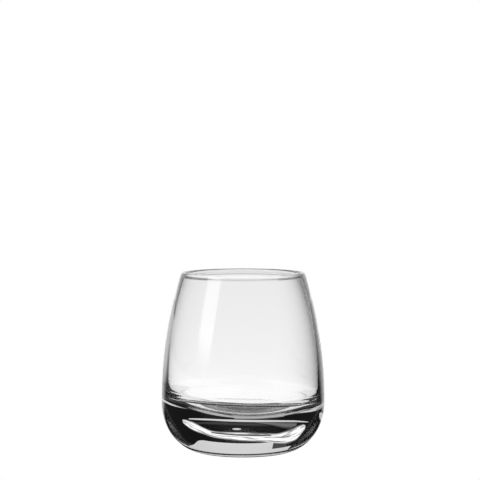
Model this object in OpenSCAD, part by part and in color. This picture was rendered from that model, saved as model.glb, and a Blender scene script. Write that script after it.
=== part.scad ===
// Stemless dessert glass: a barrel-shaped tumbler of clear glass on a thick rounded base.
// Sizes are in millimetres. The glass stands on z = 0 and its axis is +Z.

/* [Outline] */
// Height from the table to the top of the rim
glass_height = 92.4; // [80:0.2:110]
// Outer diameter at the widest point of the belly
widest_diameter = 84; // [72:0.5:100]
// Height of the widest point above the table
widest_height = 25.6; // [20:0.2:32]
// Outer diameter that the wall leans in to at the rim
rim_diameter = 63.4; // [52:0.2:70]
// Diameter of the ring that the glass stands on
foot_diameter = 40; // [34:0.5:52]

/* [Wall and bowl] */
// Thickness of the round lip that closes the wall
lip_thickness = 2.4; // [1.6:0.1:3.2]
// How far the lip stands in from the inner face as a bead
lip_bead = 0.3; // [0.1:0.05:0.5]
// Thickness of the wall where the bowl is widest
belly_thickness = 3.3; // [2.4:0.1:5]
// Solid glass between the table and the lowest point of the bowl
base_thickness = 20.4; // [12:0.2:26]
// Radius of the bowl's floor, a shallow cap of a sphere
floor_radius = 88; // [70:1:140]
// Radius of the corner between the floor and the wall
corner_radius = 7; // [4:0.2:12]
// Radius of the slow curve that leads from the upright wall into that corner
turn_radius = 28; // [20:0.5:40]
// How far the wall leans in, in degrees, where the slow curve gives way to the corner
turn_angle = 6; // [2:0.5:15]

/* [Punt] */
// Diameter of the shallow hollow inside the foot ring
punt_diameter = 33; // [20:0.5:33]
// Depth of that hollow at the axis
punt_depth = 1.6; // [0.6:0.1:3]

/* [Hidden] */
$fn = 180;
glass_colour = [0.82, 0.88, 0.9, 0.45];

// Arcs that meet on a tangent overlap by a hair, so that they cross and don't only touch.
overlap = 0.002;
// Room past an edge that a cutting square is drawn with
margin = 1;

widest_radius = widest_diameter / 2;
foot_radius = foot_diameter / 2;
base_reach = widest_radius - foot_radius;

// The wall's outer face is one arc, upright at the widest point and passing through the rim.
wall_lean = widest_radius - rim_diameter / 2;
wall_rise = glass_height - widest_height;
wall_radius = micron((wall_lean * wall_lean + wall_rise * wall_rise) / (2 * wall_lean));
wall_centre = [widest_radius - wall_radius, widest_height];

// A round lip closes the wall. Its circle touches the outer face.
lip_radius = lip_thickness / 2;
lip_arc = wall_radius - lip_radius;
lip_angle = asin((glass_height - lip_radius - overlap - widest_height) / lip_arc);
lip_centre = wall_centre + lip_arc * [cos(lip_angle), sin(lip_angle)];

// The corner touches the floor on one side and the slow curve on the other.
bowl_radius = widest_radius - belly_thickness;
turn_offset = bowl_radius - turn_radius;
turn_step = turn_radius - corner_radius;
corner_offset = turn_offset + turn_step * cos(turn_angle);
floor_centre = base_thickness + floor_radius;
corner_height = floor_centre - sqrt(pow(floor_radius - corner_radius, 2) - pow(corner_offset, 2));
corner_slope = atan2(floor_centre - corner_height, corner_offset);
bowl_height = micron(corner_height + turn_step * sin(turn_angle));
turn_end = bowl_height - turn_radius * sin(turn_angle);
floor_end = floor_radius * cos(corner_slope);

// The inner face is one arc, upright where the bowl is widest. It runs into the lip a bead's depth.
lip_gap = lip_centre - [bowl_radius, bowl_height];
lip_neck = lip_radius - lip_bead;
inner_radius = micron((lip_gap * lip_gap - lip_neck * lip_neck) / (2 * (lip_neck - lip_gap.x)));
inner_centre = [bowl_radius - inner_radius, bowl_height];

// The punt is a shallow cap of a large sphere.
punt_radius = (pow(punt_diameter / 2, 2) + pow(punt_depth, 2)) / (2 * punt_depth);

// Rounds to a thousandth, so that neighbouring curves share their end points.
function micron(length) = round(length * 1000) / 1000;

// Quarter of an ellipse from the foot ring out to the widest point, and the core that it closes on
module base_outline() {
    intersection() {
        translate([foot_radius, widest_height])
            scale([1, (widest_height + overlap) / base_reach])
                circle(r = base_reach);
        translate([foot_radius, 0])
            square([base_reach + margin, widest_height]);
    }
    square([foot_radius, widest_height]);
}

// Everything inside the outer face from the widest point up to the lip
module wall_outline() {
    intersection() {
        translate(wall_centre)
            circle(r = wall_radius);
        translate([0, widest_height])
            square([widest_radius + margin, glass_height]);
        translate(wall_centre)
            rotate(lip_angle)
                translate([0, -wall_radius])
                    square([wall_radius + margin, wall_radius]);
    }
}

// The hollow that is filled and drunk from, open past the rim
module bowl_outline() {
    intersection() {
        translate(inner_centre)
            circle(r = inner_radius);
        translate([0, bowl_height])
            square([widest_radius, glass_height]);
    }
    intersection() {
        translate([turn_offset, bowl_height])
            circle(r = turn_radius);
        translate([corner_offset, turn_end])
            square([widest_radius, bowl_height - turn_end]);
    }
    translate([corner_offset, corner_height])
        circle(r = corner_radius + overlap);
    intersection() {
        translate([0, floor_centre])
            circle(r = floor_radius);
        square([floor_end, bowl_height]);
    }
}

// Half section of the whole glass
module half_section() {
    difference() {
        union() {
            base_outline();
            wall_outline();
        }
        bowl_outline();
        translate([0, punt_depth - punt_radius])
            circle(r = punt_radius);
    }
    translate(lip_centre)
        circle(r = lip_radius + overlap);
}

// The one piece: bowl, wall, lip and base in a single body of glass
module tumbler() {
    color(glass_colour)
        rotate_extrude()
            half_section();
}

tumbler();
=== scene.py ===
from math import acos, asin, atan2, cos, pi, radians, sin, sqrt, tan

import bpy
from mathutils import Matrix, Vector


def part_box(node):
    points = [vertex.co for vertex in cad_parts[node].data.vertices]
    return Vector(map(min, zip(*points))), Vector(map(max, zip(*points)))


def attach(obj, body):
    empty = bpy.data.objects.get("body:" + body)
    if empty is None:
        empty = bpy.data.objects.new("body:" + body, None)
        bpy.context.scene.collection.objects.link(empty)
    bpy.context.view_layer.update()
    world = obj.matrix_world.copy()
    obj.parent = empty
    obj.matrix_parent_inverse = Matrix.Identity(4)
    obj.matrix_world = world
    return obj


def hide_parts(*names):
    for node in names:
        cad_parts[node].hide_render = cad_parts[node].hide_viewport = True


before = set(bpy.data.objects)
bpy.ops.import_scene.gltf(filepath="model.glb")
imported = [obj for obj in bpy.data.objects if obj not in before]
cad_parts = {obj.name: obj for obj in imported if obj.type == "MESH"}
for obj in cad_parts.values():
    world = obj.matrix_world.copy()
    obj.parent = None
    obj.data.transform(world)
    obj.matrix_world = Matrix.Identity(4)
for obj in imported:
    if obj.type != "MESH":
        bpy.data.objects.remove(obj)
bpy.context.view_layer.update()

# A stemless dessert glass: one body of clear glass, turned from the same half section as the solid.
# Lengths are in metres, angles in degrees. The glass stands on z = 0, and the camera looks along +Y.

mm = 0.001
high_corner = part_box("tumbler")[1]

# Half section
glass_height = high_corner.z
widest_radius = high_corner.x
widest_height = 25.6 * mm
rim_radius = 31.7 * mm
foot_radius = 20 * mm
lip_thickness = 2.4 * mm
lip_bead = 0.3 * mm
belly_thickness = 3.3 * mm
base_thickness = 20.4 * mm
floor_radius = 88 * mm
corner_radius = 7 * mm
turn_radius = 28 * mm
turn_angle = 6
punt_radius = 16.5 * mm
punt_depth = 1.6 * mm

# The bowl's floor was pressed a little askew, which shows below a height and fades out up to it
floor_tilt = 2.0
tilt_top = 50 * mm
tilt_fade = 18 * mm

# How finely each curve of the half section is drawn, and how many steps go round the axis
punt_steps = 20
base_steps = 80
wall_steps = 64
lip_steps = 36
turn_steps = 10
corner_steps = 40
floor_steps = 48
segments = 256

# Finish
glass_index = 1.52
scuff_roughness = 0.5
scuff_radius = 20 * mm
scuff_fade = 1.5 * mm
scuff_height = 3 * mm
scuff_height_fade = 2 * mm

# Stage: the limits that sort light by its way through the glass, and the height that the panels surround
crossed_faces = 3.5
lost_mirrors = 2.5
light_bounces = 64
base_centre = 18 * mm

# Levels of light that several parts of the stage share
lost_in_bowl = 0.9
lost_in_base = 0.02
rim_light = 0.8
softbox_light = 0.72
arch_light = 1.25
arch_streaks = 0.75


def arc(centre, radius, start, end, steps):
    """Points on a circle, or on an ellipse where the radius is a pair. Angles are in radians."""
    across, up = radius if isinstance(radius, tuple) else (radius, radius)
    turns = [start + (end - start) * i / steps for i in range(steps + 1)]
    return [(centre[0] + across * cos(t), centre[1] + up * sin(t)) for t in turns]


def outer_face():
    """The wall's outer arc: its centre, its radius and the angle where the lip starts."""
    lean = widest_radius - rim_radius
    rise = glass_height - widest_height
    radius = (lean ** 2 + rise ** 2) / (2 * lean)
    lip_angle = asin((rise - lip_thickness / 2) / (radius - lip_thickness / 2))
    return (widest_radius - radius, widest_height), radius, lip_angle


def outer_outline():
    """From the axis under the punt, over the foot ring and up the wall to the lip."""
    sphere = (punt_radius ** 2 + punt_depth ** 2) / (2 * punt_depth)
    edge = pi / 2 - asin(punt_radius / sphere)
    base_reach = (widest_radius - foot_radius, widest_height)
    centre, radius, lip_angle = outer_face()
    punt = arc((0, punt_depth - sphere), sphere, pi / 2, edge, punt_steps)
    base = arc((foot_radius, widest_height), base_reach, -pi / 2, 0, base_steps)
    wall = arc(centre, radius, 0, lip_angle, wall_steps)
    return punt + base + wall[1:]


def inner_outline():
    """From the lip down the inner wall, round the corner and over the bowl's floor to the axis."""
    lip = lip_thickness / 2
    neck = lip - lip_bead
    centre, radius, lip_angle = outer_face()
    lip_x = centre[0] + (radius - lip) * cos(lip_angle)
    lip_z = centre[1] + (radius - lip) * sin(lip_angle)
    # The slow turn, the corner and the floor
    bowl_radius = widest_radius - belly_thickness
    lean = radians(turn_angle)
    turn_x = bowl_radius - turn_radius
    step = turn_radius - corner_radius
    corner_x = turn_x + step * cos(lean)
    floor_z = base_thickness + floor_radius
    corner_z = floor_z - sqrt((floor_radius - corner_radius) ** 2 - corner_x ** 2)
    slope = atan2(floor_z - corner_z, corner_x)
    bowl_z = corner_z + step * sin(lean)
    # The inner face, which runs into the lip a bead's depth
    gap_x = lip_x - bowl_radius
    gap_z = lip_z - bowl_z
    inner = (gap_x ** 2 + gap_z ** 2 - neck ** 2) / (2 * (neck - gap_x))
    inner_x = bowl_radius - inner
    apart = inner + neck
    lip_end = atan2(gap_z, lip_x - inner_x)
    lip_turn = acos((apart ** 2 + lip ** 2 - inner ** 2) / (2 * apart * lip))
    face_turn = acos((apart ** 2 + inner ** 2 - lip ** 2) / (2 * apart * inner))
    points = arc((lip_x, lip_z), lip, lip_angle, lip_end + pi + lip_turn, lip_steps)[1:]
    points += arc((inner_x, bowl_z), inner, lip_end - face_turn, 0, wall_steps)[1:]
    points += arc((turn_x, bowl_z), turn_radius, 0, -lean, turn_steps)[1:]
    points += arc((corner_x, corner_z), corner_radius, -lean, -slope, corner_steps)[1:]
    points += arc((0, floor_z), floor_radius, -slope, -pi / 2, floor_steps)[1:]
    return points


def tilt(x, z):
    """The height of a point of the inner face once the floor is askew."""
    share = min(max((tilt_top - z) / tilt_fade, 0), 1)
    smooth = share * share * (3 - 2 * share)
    return z - smooth * x * tan(radians(floor_tilt))


def lathe(name, outer, inner):
    """Turns the half section about the axis. The first and the last point lie on the axis."""
    outline = [(r, z, False) for r, z in outer] + [(r, z, True) for r, z in inner]
    vertices, rings, faces = [], [], []
    for i, (r, z, tilted) in enumerate(outline):
        on_axis = i in (0, len(outline) - 1)
        count = 1 if on_axis else segments
        rings.append([len(vertices) + j % count for j in range(segments + 1)])
        for j in range(count):
            x = 0 if on_axis else r * cos(2 * pi * j / segments)
            y = 0 if on_axis else r * sin(2 * pi * j / segments)
            vertices.append((x, y, tilt(x, z) if tilted else z))
    for a, b in zip(rings, rings[1:]):
        for j in range(segments):
            corners = [a[j], a[j + 1], b[j + 1], b[j]]
            faces.append(list(dict.fromkeys(corners)))
    mesh = bpy.data.meshes.new(name)
    mesh.from_pydata(vertices, [], faces)
    mesh.validate()
    mesh.polygons.foreach_set("use_smooth", [True] * len(mesh.polygons))
    piece = bpy.data.objects.new(name, mesh)
    bpy.context.scene.collection.objects.link(piece)
    return piece


def add(tree, kind, **settings):
    """A node with its properties and its plain input values set."""
    node = tree.nodes.new("ShaderNode" + kind)
    for key, value in settings.items():
        if hasattr(node, key):
            setattr(node, key, value)
        else:
            node.inputs[key.replace("_", " ")].default_value = value
    return node


def calculate(tree, operation, first, second=0.0):
    """A math node on two sources, each an output or a plain number."""
    node = add(tree, "Math", operation=operation)
    for socket, value in zip(node.inputs, (first, second)):
        if isinstance(value, (int, float)):
            socket.default_value = value
        else:
            tree.links.new(value, socket)
    return node.outputs[0]


def product(tree, first, second):
    """The two sources multiplied."""
    return calculate(tree, "MULTIPLY", first, second)


def larger(tree, first, second):
    """The larger of the two sources."""
    return calculate(tree, "MAXIMUM", first, second)


def size(tree, source):
    """The source without its sign."""
    return calculate(tree, "ABSOLUTE", source)


def opposite(tree, share):
    """One where the share is nought, and nought where it is one."""
    return calculate(tree, "SUBTRACT", 1.0, share)


def sideways(tree, x, y, start=0.0):
    """How far a place lies to the side for each metre that it lies behind, from a start in front."""
    closest = 0.001
    behind = calculate(tree, "ADD", larger(tree, y, 0.0), start) if start else larger(tree, y, closest)
    return calculate(tree, "DIVIDE", x, behind)


def ramp(tree, source, start, end, low=0.0, high=1.0):
    """A smooth step: low where the source is at start, high where it is at end."""
    step = add(tree, "MapRange", interpolation_type="SMOOTHSTEP",
               From_Min=start, From_Max=end, To_Min=low, To_Max=high)
    tree.links.new(source, step.inputs["Value"])
    return step.outputs[0]


def blend(tree, share, first, second):
    """The first level where the share is nought, and the second where it is one."""
    rest = product(tree, first, opposite(tree, share))
    return calculate(tree, "ADD", rest, product(tree, second, share))


def distance_and_parts(tree, source):
    """How far a point is from the origin, and its X, Y and Z."""
    length = add(tree, "VectorMath", operation="LENGTH")
    split = add(tree, "SeparateXYZ")
    tree.links.new(source, length.inputs[0])
    tree.links.new(source, split.inputs[0])
    return length.outputs["Value"], split.outputs["X"], split.outputs["Y"], split.outputs["Z"]


def mix_into(tree, share, first, second, out):
    """Sends the first shader on where the share is nought, and the second where it is one."""
    mix = add(tree, "MixShader")
    tree.links.new(share, mix.inputs[0])
    tree.links.new(first.outputs[0], mix.inputs[1])
    tree.links.new(second.outputs[0], mix.inputs[2])
    tree.links.new(mix.outputs[0], out.inputs[0])


def clear_glass():
    """Clear glass, polished all over but for the underside, which is scuffed from standing on tables."""
    material = bpy.data.materials.new("clear_glass")
    material.use_nodes = True
    tree = material.node_tree
    shader = tree.nodes["Principled BSDF"]
    shader.inputs["Base Color"].default_value = (1, 1, 1, 1)
    shader.inputs["IOR"].default_value = glass_index
    shader.inputs["Transmission Weight"].default_value = 1
    place = add(tree, "NewGeometry")
    distance, _, _, height = distance_and_parts(tree, place.outputs["Position"])
    scuffs = add(tree, "MapRange", From_Min=scuff_radius + scuff_fade, From_Max=scuff_radius,
                 To_Min=0, To_Max=scuff_roughness)
    low = add(tree, "MapRange", From_Min=scuff_height + scuff_height_fade, From_Max=scuff_height,
              To_Min=0, To_Max=1)
    tree.links.new(distance, scuffs.inputs["Value"])
    tree.links.new(height, low.inputs["Value"])
    tree.links.new(product(tree, scuffs.outputs[0], low.outputs[0]), shader.inputs["Roughness"])
    return material


def on_the_way(tree, count, limit):
    """One for light that has gone through more than so many steps of a kind, and nought for the rest."""
    return calculate(tree, "GREATER_THAN", add(tree, "LightPath").outputs[count], limit)


def inside(tree):
    """Light that has entered the glass."""
    return on_the_way(tree, "Transmission Depth", 0.5)


def crossed(tree):
    """Light that has crossed the bowl, which takes four faces of glass."""
    return on_the_way(tree, "Transmission Depth", crossed_faces)


def mirrored(tree):
    """Light that a face of the glass has mirrored."""
    return on_the_way(tree, "Glossy Depth", 0.5)


def lost(tree):
    """Light that has been mirrored to and fro in the glass, where no clear picture is left."""
    return on_the_way(tree, "Glossy Depth", lost_mirrors)


def faint(tree, level):
    """The level for lost light: pale through the bowl, darker in the base the more often it is mirrored."""
    mirrors = add(tree, "LightPath").outputs["Glossy Depth"]
    return blend(tree, crossed(tree), ramp(tree, mirrors, 3, 5, level, lost_in_base), lost_in_bowl)


def sheet(name, vertices, faces, camera=False):
    """A part of the stage, with an empty glowing material."""
    mesh = bpy.data.meshes.new(name)
    mesh.from_pydata(vertices, [], faces)
    ob = bpy.data.objects.new(name, mesh)
    bpy.context.scene.collection.objects.link(ob)
    material = bpy.data.materials.new(name)
    material.use_nodes = True
    tree = material.node_tree
    tree.nodes.clear()
    glow = add(tree, "Emission")
    out = add(tree, "OutputMaterial")
    tree.links.new(glow.outputs[0], out.inputs[0])
    mesh.materials.append(material)
    ob.visible_camera = camera
    return mesh, tree, glow, out


def pass_by(tree, glow, out, shows):
    """Lets light by that a sheet isn't for. Light that has crossed the bowl always goes by, and so do

    for clear: light outside the glass, and mirrored light
    for base: light outside the glass, and lost light
    for gloss: light that isn't mirrored, and lost light
    for rim: light outside the glass, and mirrored light that isn't lost
    """
    share = crossed(tree)
    if shows == "rim":
        share = larger(tree, share, calculate(tree, "SUBTRACT", mirrored(tree), lost(tree)))
    else:
        share = larger(tree, share, lost(tree))
    if shows == "gloss":
        share = larger(tree, share, opposite(tree, mirrored(tree)))
    else:
        share = larger(tree, share, opposite(tree, inside(tree)))
    if shows == "clear":
        share = larger(tree, share, mirrored(tree))
    mix_into(tree, share, glow, add(tree, "BsdfTransparent"), out)


def toward(azimuth, elevation, distance):
    """A point seen from the glass's base in that direction. Azimuth 0 is straight behind the glass."""
    a, e = radians(azimuth), radians(elevation)
    return (distance * sin(a), distance * cos(a), distance * tan(e) + base_centre)


def between(a, b, c, d, t):
    """A smooth curve from b to c, where t goes from 0 to 1. Its slopes come from the neighbours a and d."""
    slope = (c - a) / 2
    bow = (2 * a - 5 * b + 4 * c - d) / 2
    twist = (3 * b - a - 3 * c + d) / 2
    return b + slope * t + bow * t ** 2 + twist * t ** 3


def bend(edges, count):
    """Points on a smooth curve through the edges, each with an azimuth and any other numbers."""
    points = []
    last = len(edges) - 1
    for k in range(count * last + 1):
        i = min(k // count, last - 1)
        neighbours = [edges[min(max(i + d, 0), last)] for d in (-1, 0, 1, 2)]
        points.append([between(*values, k / count - i) for values in zip(*neighbours)])
    return points


def panel(name, edges, distance, strength, softness=0.0, streaks=0.0, low_only=False, shows="clear"):
    """A glowing sheet bent round the glass. Each edge is an azimuth with its low and high elevation.

    Softness is the share of the sheet's height over which its edges fade, or its low edge only.
    Streaks are how much darker the grain is in places.
    """
    columns = 8
    steps = 6
    vertices, faces, across, along = [], [], [], []
    for i, (azimuth, low, high) in enumerate(bend(edges, columns)):
        for j in range(steps + 1):
            vertices.append(toward(azimuth, low + (high - low) * j / steps, distance))
            across.append(2 * j / steps - 1)
            along.append(azimuth)
            if i and j:
                k = i * (steps + 1) + j
                faces.append((k - steps - 2, k - 1, k, k - steps - 1))
    mesh, tree, glow, out = sheet(name, vertices, faces)
    for key, values in (("across", across), ("along", along)):
        mesh.attributes.new(key, "FLOAT", "POINT").data.foreach_set("value", values)
    glow.inputs["Strength"].default_value = strength
    level = strength
    place = add(tree, "Attribute", attribute_name="across").outputs["Fac"]
    if softness:
        reach = place if low_only else size(tree, place)
        edge = -1 if low_only else 1
        level = ramp(tree, reach, edge, edge * (1 - softness), 0, strength)
    if streaks:
        turn = add(tree, "Attribute", attribute_name="along").outputs["Fac"]
        join = add(tree, "CombineXYZ")
        grain_along = 0.05
        grain_across = 2.2
        tree.links.new(product(tree, turn, grain_along), join.inputs["X"])
        tree.links.new(product(tree, place, grain_across), join.inputs["Y"])
        grain = add(tree, "TexNoise", Scale=1.3, Detail=2.0, Roughness=0.6)
        tree.links.new(join.outputs[0], grain.inputs["Vector"])
        level = product(tree, level, ramp(tree, grain.outputs["Fac"], 0.38, 0.55, 1 - streaks, 1))
    if level is not strength:
        tree.links.new(level, glow.inputs["Strength"])
    pass_by(tree, glow, out, shows)


def collar(name, first, last, reach):
    """A glowing band round the back of the rim, between two rings of a radius and a height."""
    steps = 32
    vertices, faces = [], []
    for i in range(steps + 1):
        turn = radians(-reach + 2 * reach * i / steps)
        vertices += [(r * sin(turn), r * cos(turn), z) for r, z in (first, last)]
        if i:
            faces.append((2 * i - 2, 2 * i - 1, 2 * i + 1, 2 * i))
    _, tree, glow, out = sheet(name, vertices, faces)
    glow.inputs["Strength"].default_value = rim_light
    pass_by(tree, glow, out, "rim")


def sides(tree, aside, y):
    """The share of its light that the stage keeps behind the glass, where it is darker to both sides.

    It comes back to full further aside, and where the place isn't behind the glass.
    """
    left_share = 0.75
    right = larger(tree, ramp(tree, aside, 0.28, 0.04), ramp(tree, aside, 0.45, 0.9))
    left = larger(tree, ramp(tree, aside, -0.6, -0.05, left_share, 1), ramp(tree, aside, -0.8, -1.6))
    left = larger(tree, left, ramp(tree, y, 0.3, 0.03))
    return larger(tree, product(tree, right, left), ramp(tree, y, 0.06, 0.0))


def skim(tree, x, y):
    """The white behind the glass as its outer face mirrors it at a skimming angle, which lights the edges."""
    dimmest = 0.01
    aside = size(tree, sideways(tree, x, y))
    return product(tree, ramp(tree, aside, 1.2, 0.6, dimmest, 1.0), ramp(tree, y, 0.0, 0.02))


def table():
    """A pale table, white to the camera. Elsewhere it glows with painted light and painted shade, so that the
    glass shows it bright through the bowl and dim in the base.
    """
    reach = 40.0
    far_level = 0.83
    painted_pool_gain = 0.078
    brightest = 1.08
    dimmest = 0.01
    painted_foot_light = 0.3
    left_level = 0.5
    lost_level = 0.04
    corners = [(-reach, -reach, 0), (reach, -reach, 0), (reach, reach, 0), (-reach, reach, 0)]
    _, tree, glow, out = sheet("table", corners, [(0, 1, 2, 3)], camera=True)
    place = add(tree, "NewGeometry")
    radius, x, y, _ = distance_and_parts(tree, place.outputs["Position"])
    clear = opposite(tree, mirrored(tree))
    # Through the bowl: a painted pool of light, bright near the glass and darker far off, with painted shade
    # to both sides behind it
    near = product(tree, painted_pool_gain, calculate(tree, "POWER", radius, -0.5))
    fall = calculate(tree, "MINIMUM", calculate(tree, "ADD", far_level, near), brightest)
    shade = sides(tree, sideways(tree, x, y, 0.4), y)
    straight = product(tree, fall, blend(tree, clear, 1.0, shade))
    # Mirrored in the base: painted shade, dim all round the glass, with painted light far behind and a
    # painted pool of light under the foot
    aside = sideways(tree, x, y)
    wedge = product(tree, ramp(tree, aside, 0.45, 0.25), ramp(tree, aside, -1.0, -0.6))
    behind = product(tree, wedge, ramp(tree, radius, 0.10, 0.30, 0.16, 0.45))
    under = ramp(tree, radius, 22.5 * mm, 17.5 * mm, 0, painted_foot_light)
    # A painted band of light on the table close behind the foot, which lights the bottom edge
    band = product(tree, ramp(tree, radius, 0.08, 0.11), ramp(tree, radius, 0.26, 0.18))
    band = product(tree, band, ramp(tree, size(tree, aside), 0.35, 0.2))
    inner = larger(tree, larger(tree, behind, under), larger(tree, band, dimmest))
    # Mirrored by the outer face: painted light, white straight behind and pale far off to the left, with
    # painted shade to the sides and in front
    left = product(tree, ramp(tree, radius, 0.35, 0.6, 0, left_level), ramp(tree, x, 0.0, -0.2))
    outer = larger(tree, skim(tree, x, y), left)
    bounced = blend(tree, inside(tree), outer, inner)
    direct = larger(tree, clear, crossed(tree))
    # Light mirrored to and fro in the glass sees the table pale through the bowl and in painted shade in the
    # base
    level = blend(tree, lost(tree), blend(tree, direct, bounced, straight), faint(tree, lost_level))
    tree.links.new(level, glow.inputs["Strength"])
    seen = add(tree, "LightPath").outputs["Is Camera Ray"]
    mix_into(tree, seen, glow, add(tree, "Emission"), out)


def room():
    """White to the camera, pale through the bowl and dark in the base."""
    dark_level = 0.008
    low_level = 0.84
    mirrored_level = 0.95
    lost_level = 0.35
    world = bpy.data.worlds.new("room")
    bpy.context.scene.world = world
    world.use_nodes = True
    tree = world.node_tree
    tree.nodes.clear()
    glow = add(tree, "Background", Color=(1, 1, 1, 1))
    white = add(tree, "Background", Color=(1, 1, 1, 1))
    out = add(tree, "OutputWorld")
    place = add(tree, "TexCoord")
    _, x, y, z = distance_and_parts(tree, place.outputs["Generated"])
    base = blend(tree, inside(tree), skim(tree, x, y), dark_level)
    # Through the bowl: pale low down, dim and darker to the sides higher up, and white where it is mirrored
    aside = sideways(tree, x, y)
    low = product(tree, low_level, sides(tree, aside, y))
    high = ramp(tree, size(tree, aside), 0.4, 1.0, 0.5, 0.05)
    bowl = blend(tree, ramp(tree, z, 0.10, 0.26), low, high)
    bowl = blend(tree, mirrored(tree), bowl, mirrored_level)
    level = blend(tree, lost(tree), blend(tree, crossed(tree), base, bowl), faint(tree, lost_level))
    tree.links.new(level, glow.inputs["Strength"])
    seen = add(tree, "LightPath").outputs["Is Camera Ray"]
    mix_into(tree, seen, glow, white, out)


def camera():
    """A little above the rim, about a metre in front of the glass, looking slightly down."""
    look_down = 2.8346
    lens = bpy.data.cameras.new("camera")
    lens.lens = 150
    lens.sensor_width = 36
    ob = bpy.data.objects.new("camera", lens)
    bpy.context.scene.collection.objects.link(ob)
    ob.location = (-0.00159, -1.0259, 0.15981)
    ob.rotation_euler = (radians(90 - look_down), 0, 0)
    bpy.context.scene.camera = ob


def lights():
    """Panels that the base shows, a strip that gleams on the wall, and collars that lighten the rim."""
    arch = [
        (36, 7, 9.3), (33, 6.5, 11), (30, 6.6, 12.3), (26, 7, 13.2), (20, 9.3, 14), (14, 10.6, 15.2),
        (0, 10.2, 16.2), (-10, 11, 17.6), (-18, 12.2, 19.8), (-26, 10.4, 21.8),
        (-33, 9.4, 20.5), (-37, 10, 16.5), (-39.5, 11.5, 14),
    ]
    softbox = [(40, 30, 85), (30, 22, 85), (24, 18.2, 85), (15, 17.6, 85), (0, 17.4, 85), (-15.9, 17.8, 85)]
    horizon = [
        (30, 5.4, 6.2), (22, 4.3, 5.5), (13, 3.7, 4.9), (0, 3.5, 5.0),
        (-13, 4.3, 5.6), (-26, 6, 7.2), (-34, 7.6, 8.6), (-42, 9.4, 10),
    ]
    haze = [(25, 6.5, 8.5), (13, 4.7, 7.5), (0, 4.7, 7.5), (-13, 4.9, 8.5), (-26, 6, 9)]
    haze_right = [(-6, 5, 5.5), (-14, 5, 8), (-22, 5.6, 11), (-30, 7, 12)]
    wall_left = [(-80, -0.5, 4.8), (-60, -0.5, 4.6), (-47, -0.5, 4), (-35, -0.5, 3), (-25, -0.5, 2.5)]
    lamp = [(0.8, 8.8, 8.8), (1.6, 8.3, 9.3), (3, 8.1, 9.5), (4.4, 8.3, 9.3), (5.2, 8.8, 8.8)]
    panel("back", [(-20, -0.5, 3.2), (4, -0.5, 3.2)], 1.8, 0.33, shows="base")
    panel("horizon", horizon, 1.70, 0.72, softness=0.5)
    panel("haze", haze, 1.76, 0.05, softness=1.0)
    panel("haze_right", haze_right, 1.74, 0.18, softness=1.0)
    panel("wall_left", wall_left, 1.8, 0.75, softness=0.2, streaks=0.6)
    panel("arch", arch, 1.5, arch_light, softness=0.5, streaks=arch_streaks)
    panel("gap", [(16, 11.6, 12.2), (0, 11.9, 12.8), (-14, 12.9, 13.6)], 1.45, 0.08)
    panel("softbox", softbox, 1.2, softbox_light)
    panel("softbox_side", [(-15.9, 23, 85), (-30, 24, 85)], 1.2, softbox_light)
    panel("notch", [(-15.9, 18.6, 23), (-26, 21, 24.3)], 1.25, 0.07)
    panel("lamp", lamp, 1.5, 0.7, softness=0.6)
    strip = [(-138, 40, 50), (-131, 3, 50), (-110, 3, 50)]
    panel("strip", strip, 1.0, 1.5, softness=0.45, low_only=True, shows="gloss")
    # Each collar goes from one ring to another and reaches so many degrees to both sides
    collar("rim_low", (37.5 * mm, 78 * mm), (110 * mm, 78 * mm), 80)
    collar("rim_edge", (60 * mm, 91.2 * mm), (60 * mm, 95.5 * mm), 40)
    collar("rim_high", (60 * mm, 95.5 * mm), (60 * mm, 300 * mm), 20)
    # The same panels for the base as the other sides show it
    for side, turn in (("left", -98), ("front", 135)):
        around = {
            kind: [(azimuth + turn, low, high) for azimuth, low, high in edges]
            for kind, edges in (("horizon", horizon), ("arch", arch), ("softbox", softbox))
        }
        panel("horizon_" + side, around["horizon"], 1.9, 0.62, softness=0.5)
        panel("arch_" + side, around["arch"], 1.9, arch_light, softness=0.5, streaks=arch_streaks)
        panel("softbox_" + side, around["softbox"], 1.9, softbox_light)


camera()
glass = lathe("tumbler_glass", outer_outline(), inner_outline())
glass.data.materials.append(clear_glass())
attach(glass, "root")
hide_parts("tumbler")

table()
room()
lights()

scene = bpy.context.scene
scene.view_settings.view_transform = "Standard"
scene.cycles.max_bounces = light_bounces
scene.cycles.transmission_bounces = light_bounces
scene.cycles.glossy_bounces = light_bounces
scene.cycles.transparent_max_bounces = light_bounces
